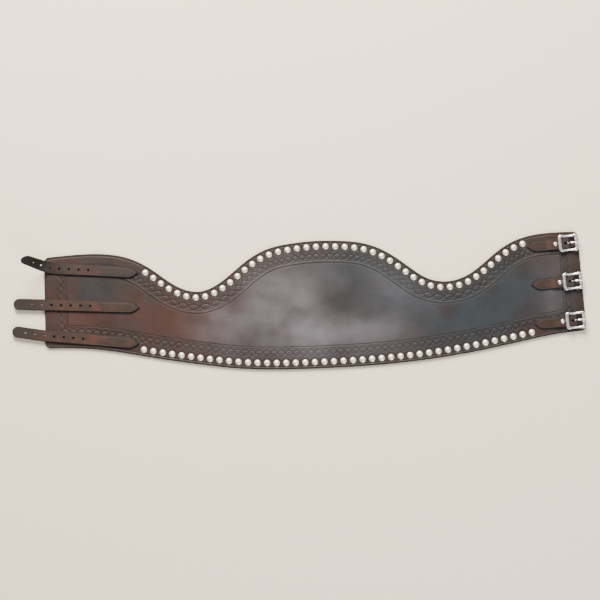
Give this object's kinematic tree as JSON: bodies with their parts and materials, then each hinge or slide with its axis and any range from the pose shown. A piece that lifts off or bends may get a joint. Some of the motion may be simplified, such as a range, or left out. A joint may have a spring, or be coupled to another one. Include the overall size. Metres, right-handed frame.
{
  "type": "studded leather girth belt",
  "caption": "Wide contoured leather girth belt with domed nickel spots along both edges, a tooled border, punched billet straps at one end and centre-bar buckles at the other.",
  "frame": {"origin": "on the flat back face, under the crown of the middle hump and level with the middle billet's height", "axes": "+X along the belt towards the buckles, +Y across it towards the double-dipped edge, +Z out of the studded face"},
  "size_m": [0.955, 0.2144, 0.0513],
  "materials": {
    "leather": "oiled",
    "strap_leather": "oiled",
    "nickel": "polished",
    "thread": "waxed"
  },
  "bodies": {
    "belt_centre": {"panel_centre": "leather", "spots_top_centre": "nickel", "spots_bottom_centre": "nickel"},
    "belt_left_mid": {"panel_left_mid": "leather", "spots_top_left_mid": "nickel", "spots_bottom_left_mid": "nickel"},
    "belt_right_mid": {"panel_right_mid": "leather", "spots_top_right_mid": "nickel", "spots_bottom_right_mid": "nickel"},
    "belt_left_end": {"panel_left_end": "leather", "spots_top_left_end": "nickel", "spots_bottom_left_end": "nickel", "billet_top_sewn_end": "strap_leather", "billet_top_stitching": "thread", "billet_middle_sewn_end": "strap_leather", "billet_middle_stitching": "thread", "billet_bottom_sewn_end": "strap_leather", "billet_bottom_stitching": "thread"},
    "belt_right_end": {"panel_right_end": "leather", "spots_top_right_end": "nickel", "spots_bottom_right_end": "nickel", "buckle_top_tab": "strap_leather", "buckle_top_rivet": "nickel", "buckle_top_burr": "nickel", "buckle_top_stitching": "thread", "buckle_middle_tab": "strap_leather", "buckle_middle_rivet": "nickel", "buckle_middle_burr": "nickel", "buckle_middle_stitching": "thread", "buckle_bottom_tab": "strap_leather", "buckle_bottom_rivet": "nickel", "buckle_bottom_burr": "nickel", "buckle_bottom_stitching": "thread"},
    "billet_top": {"billet_top_free_end": "strap_leather"},
    "billet_middle": {"billet_middle_free_end": "strap_leather"},
    "billet_bottom": {"billet_bottom_free_end": "strap_leather"},
    "loop_top": {"buckle_top_loop": "strap_leather"},
    "frame_top": {"buckle_top_frame": "nickel"},
    "tongue_top": {"buckle_top_tongue": "nickel"},
    "loop_middle": {"buckle_middle_loop": "strap_leather"},
    "frame_middle": {"buckle_middle_frame": "nickel"},
    "tongue_middle": {"buckle_middle_tongue": "nickel"},
    "loop_bottom": {"buckle_bottom_loop": "strap_leather"},
    "frame_bottom": {"buckle_bottom_frame": "nickel"},
    "tongue_bottom": {"buckle_bottom_tongue": "nickel"}
  },
  "joints": [
    {"name": "wrap_left_inner", "type": "hinge", "parent": "belt_centre", "child": "belt_left_mid", "pos_m": [-0.0681, 0, 0], "axis": [0, -1, 0], "range_deg": [0, 60]},
    {"name": "wrap_left_outer", "type": "hinge", "parent": "belt_left_mid", "child": "belt_left_end", "pos_m": [-0.22509, 0, 0], "axis": [0, -1, 0], "range_deg": [0, 60]},
    {"name": "wrap_right_inner", "type": "hinge", "parent": "belt_centre", "child": "belt_right_mid", "pos_m": [0.1052, 0, 0], "axis": [0, 1, 0], "range_deg": [0, 60]},
    {"name": "wrap_right_outer", "type": "hinge", "parent": "belt_right_mid", "child": "belt_right_end", "pos_m": [0.27002, 0, 0], "axis": [0, 1, 0], "range_deg": [0, 60]},
    {"name": "billet_top_lift", "type": "hinge", "parent": "belt_left_end", "child": "billet_top", "pos_m": [-0.3615, 0.07355, 0.007], "axis": [0.0906, 0.9959, 0], "range_deg": [0, 80]},
    {"name": "billet_middle_lift", "type": "hinge", "parent": "belt_left_end", "child": "billet_middle", "pos_m": [-0.3617, 0.0135, 0.007], "axis": [0.0698, 0.9976, 0], "range_deg": [0, 80]},
    {"name": "billet_bottom_lift", "type": "hinge", "parent": "belt_left_end", "child": "billet_bottom", "pos_m": [-0.3639, -0.04331, 0.007], "axis": [0.1236, 0.9923, 0], "range_deg": [0, 80]},
    {"name": "buckle_top_lift", "type": "hinge", "parent": "belt_right_end", "child": "loop_top", "pos_m": [0.40481, 0.08331, 0.008], "axis": [0.0419, -0.9991, 0], "range_deg": [0, 60]},
    {"name": "buckle_top_rock", "type": "hinge", "parent": "loop_top", "child": "frame_top", "pos_m": [0.4218, 0.08402, 0.00775], "axis": [0.0419, -0.9991, 0], "range_deg": [-12, 0]},
    {"name": "tongue_top_swing", "type": "hinge", "parent": "frame_top", "child": "tongue_top", "pos_m": [0.4218, 0.08402, 0.00775], "axis": [0.0419, -0.9991, 0], "range_deg": [0, 110]},
    {"name": "buckle_middle_lift", "type": "hinge", "parent": "belt_right_end", "child": "loop_middle", "pos_m": [0.40821, 0.01884, 0.008], "axis": [0.0419, -0.9991, 0], "range_deg": [0, 60]},
    {"name": "buckle_middle_rock", "type": "hinge", "parent": "loop_middle", "child": "frame_middle", "pos_m": [0.4252, 0.01955, 0.00775], "axis": [0.0419, -0.9991, 0], "range_deg": [-12, 0]},
    {"name": "tongue_middle_swing", "type": "hinge", "parent": "frame_middle", "child": "tongue_middle", "pos_m": [0.4252, 0.01955, 0.00775], "axis": [0.0419, -0.9991, 0], "range_deg": [0, 110]},
    {"name": "buckle_bottom_lift", "type": "hinge", "parent": "belt_right_end", "child": "loop_bottom", "pos_m": [0.40901, -0.04678, 0.008], "axis": [0.0419, -0.9991, 0], "range_deg": [0, 60]},
    {"name": "buckle_bottom_rock", "type": "hinge", "parent": "loop_bottom", "child": "frame_bottom", "pos_m": [0.426, -0.04607, 0.00775], "axis": [0.0419, -0.9991, 0], "range_deg": [-12, 0]},
    {"name": "tongue_bottom_swing", "type": "hinge", "parent": "frame_bottom", "child": "tongue_bottom", "pos_m": [0.426, -0.04607, 0.00775], "axis": [0.0419, -0.9991, 0], "range_deg": [0, 110]}
  ]
}
